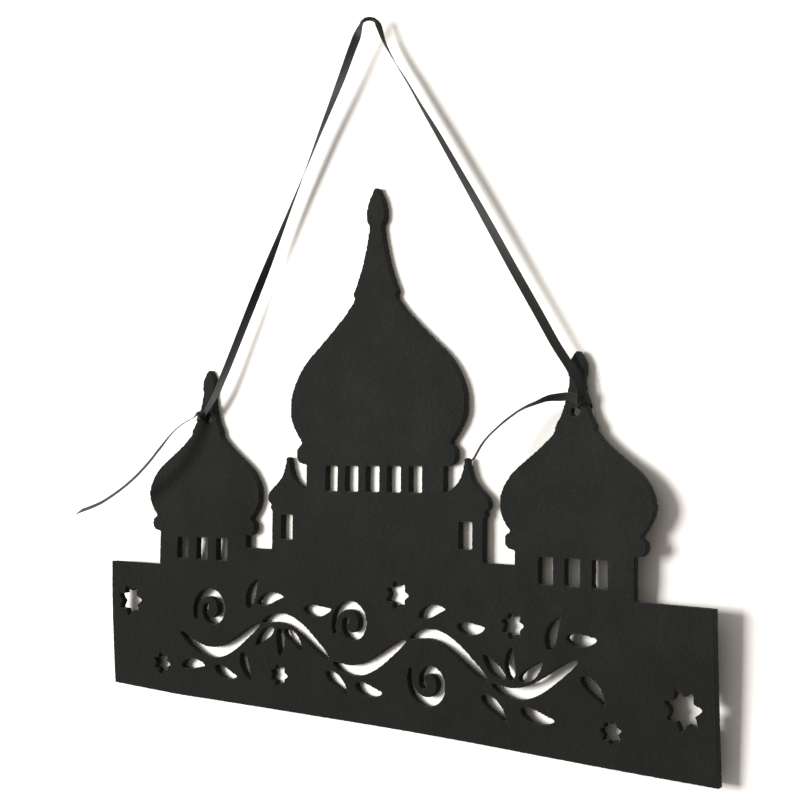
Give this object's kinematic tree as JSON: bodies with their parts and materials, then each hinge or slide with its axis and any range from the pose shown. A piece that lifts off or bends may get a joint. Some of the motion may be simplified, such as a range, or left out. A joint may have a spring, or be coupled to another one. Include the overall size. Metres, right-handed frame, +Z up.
{
  "type": "felt hanging decoration",
  "caption": "Black felt skyline of domes and towers with cut-through stars, windows and scrolling leaves, hung from one satin ribbon tied through a hole in each side spire.",
  "frame": {"origin": "top of the nail or hook that the ribbon lies over, at the underside of the ribbon's bend, in the middle of the felt's thickness", "axes": "+Z up; +X to the viewer's right along the felt; -Y out of the front face towards the room, +Y towards the wall"},
  "size_m": [0.3249, 0.0147, 0.2869],
  "materials": {
    "black_felt": "matte",
    "black_satin": "satin"
  },
  "bodies": {
    "ribbon": {"ribbon_top_bend": "black_satin", "ribbon_left_strand": "black_satin", "ribbon_right_strand": "black_satin", "left_knot": "black_satin", "right_knot": "black_satin", "left_loop": "black_satin", "right_loop": "black_satin", "left_tail": "black_satin", "right_tail": "black_satin"},
    "panel": {"felt_panel": "black_felt"}
  },
  "joints": [
    {"name": "panel_tilt", "type": "hinge", "parent": "ribbon", "child": "panel", "pos_m": [0, 0, -0.161], "axis": [-1, 0, 0], "range_deg": [0, 35]}
  ]
}
